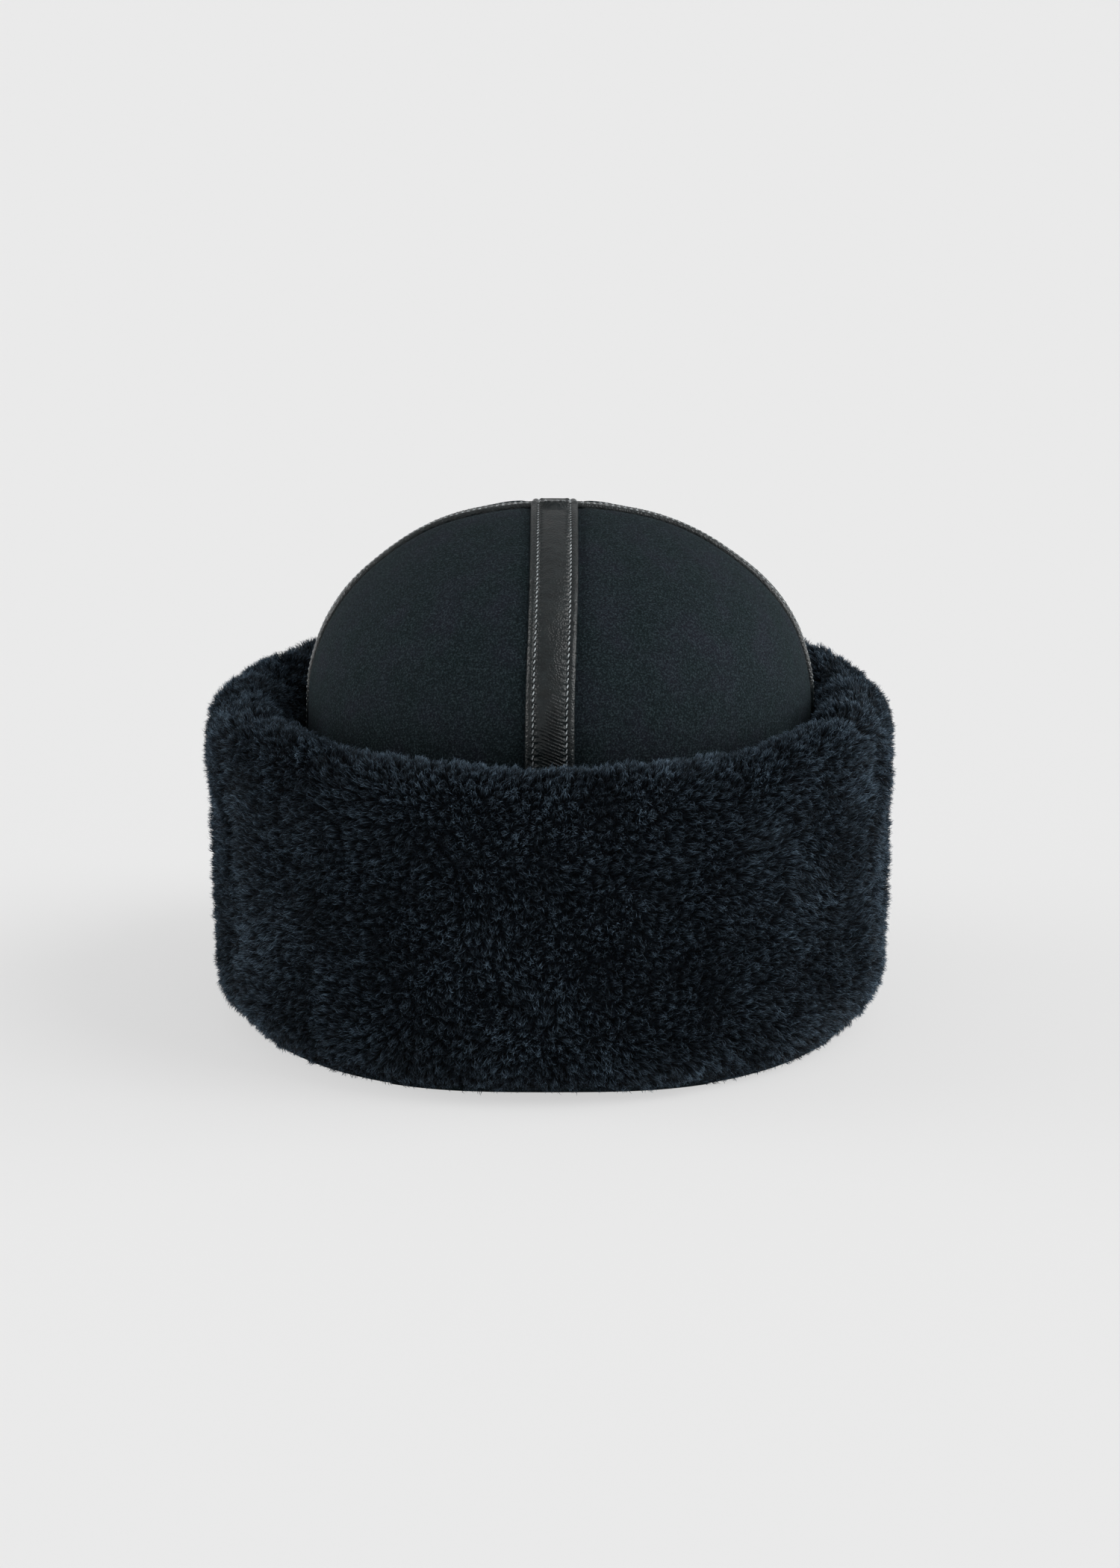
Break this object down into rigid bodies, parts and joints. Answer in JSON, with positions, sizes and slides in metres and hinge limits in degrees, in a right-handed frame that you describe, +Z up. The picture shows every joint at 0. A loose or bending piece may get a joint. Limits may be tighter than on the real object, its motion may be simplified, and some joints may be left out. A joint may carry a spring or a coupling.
{
  "type": "trapper hat",
  "caption": "Sheepskin trapper hat: a domed suede crown with leather seam straps inside a tall turned-up wool cuff of front, ear and nape flaps that fold down",
  "frame": {"origin": "on the floor, under the middle of the crown", "axes": "+Z up through the top of the crown, -Y to the front of the hat, +X to the wearer's left"},
  "size_m": [0.2656, 0.2836, 0.1988],
  "materials": {
    "suede": "matte",
    "wool": "matte",
    "strap_leather": "satin"
  },
  "bodies": {
    "crown": {"crown_front_left_hide": "suede", "crown_front_right_hide": "suede", "crown_rear_left_hide": "suede", "crown_rear_right_hide": "suede", "crown_front_left_wool": "wool", "crown_front_right_wool": "wool", "crown_rear_left_wool": "wool", "crown_rear_right_wool": "wool", "front_strap": "strap_leather", "rear_strap": "strap_leather", "cross_strap": "strap_leather", "flap_seam_welt": "strap_leather"},
    "front_flap": {"front_flap_hide": "suede", "front_flap_wool": "wool"},
    "left_ear_flap": {"left_ear_flap_hide": "suede", "left_ear_flap_wool": "wool"},
    "right_ear_flap": {"right_ear_flap_hide": "suede", "right_ear_flap_wool": "wool"},
    "nape_flap": {"nape_flap_hide": "suede", "nape_flap_wool": "wool"}
  },
  "joints": [
    {"name": "front_flap_fold", "type": "hinge", "parent": "crown", "child": "front_flap", "pos_m": [0, -0.124, 0.0148], "axis": [1, 0, 0], "range_deg": [0, 175]},
    {"name": "left_ear_flap_fold", "type": "hinge", "parent": "crown", "child": "left_ear_flap", "pos_m": [0.115, 0, 0.0148], "axis": [0, 1, 0], "range_deg": [0, 175]},
    {"name": "right_ear_flap_fold", "type": "hinge", "parent": "crown", "child": "right_ear_flap", "pos_m": [-0.115, 0, 0.0148], "axis": [0, -1, 0], "range_deg": [0, 175]},
    {"name": "nape_flap_fold", "type": "hinge", "parent": "crown", "child": "nape_flap", "pos_m": [0, 0.124, 0.0148], "axis": [-1, 0, 0], "range_deg": [0, 175]}
  ]
}
